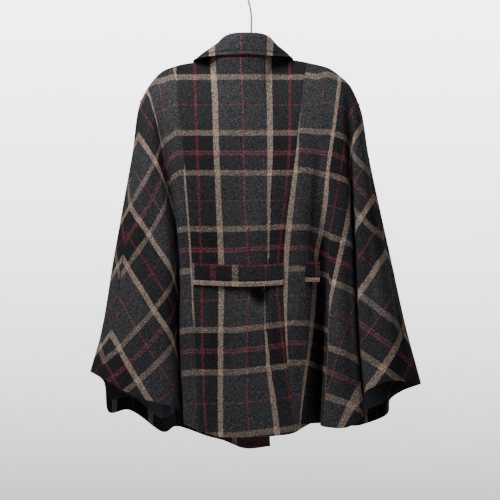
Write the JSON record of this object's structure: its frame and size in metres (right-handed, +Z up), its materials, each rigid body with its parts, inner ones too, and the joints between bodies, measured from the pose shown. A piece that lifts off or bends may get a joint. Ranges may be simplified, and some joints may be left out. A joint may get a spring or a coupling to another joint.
{
  "type": "cape jacket on hanger",
  "caption": "Hip-length wool check cape jacket with turned-down collar, belted back and wide open cape sleeves, hanging on a bar hanger with a wire hook",
  "frame": {"origin": "the inside top of the hanger's hook, where a rail carries it", "axes": "+Z up along the stem, +X to the wearer's right, +Y to the wearer's front"},
  "size_m": [0.663, 0.1851, 0.9515],
  "materials": {
    "wool_check": "matt brushed wool",
    "lining_satin": "satin",
    "button_horn": "satin",
    "hanger_black": "matt",
    "hook_steel": "polished wire"
  },
  "bodies": {
    "root": {"back_centre": "wool_check", "cape_back_left": "wool_check", "cape_back_right": "wool_check", "cape_front_left": "wool_check", "cape_front_right": "wool_check", "collar": "wool_check", "belt_back": "wool_check", "belt_side": "wool_check", "lining_left": "lining_satin", "lining_right": "lining_satin", "button_1": "button_horn", "button_2": "button_horn", "button_3": "button_horn", "button_4": "button_horn", "hanger_arms": "hanger_black", "hanger_hook": "hook_steel"}
  },
  "joints": []
}
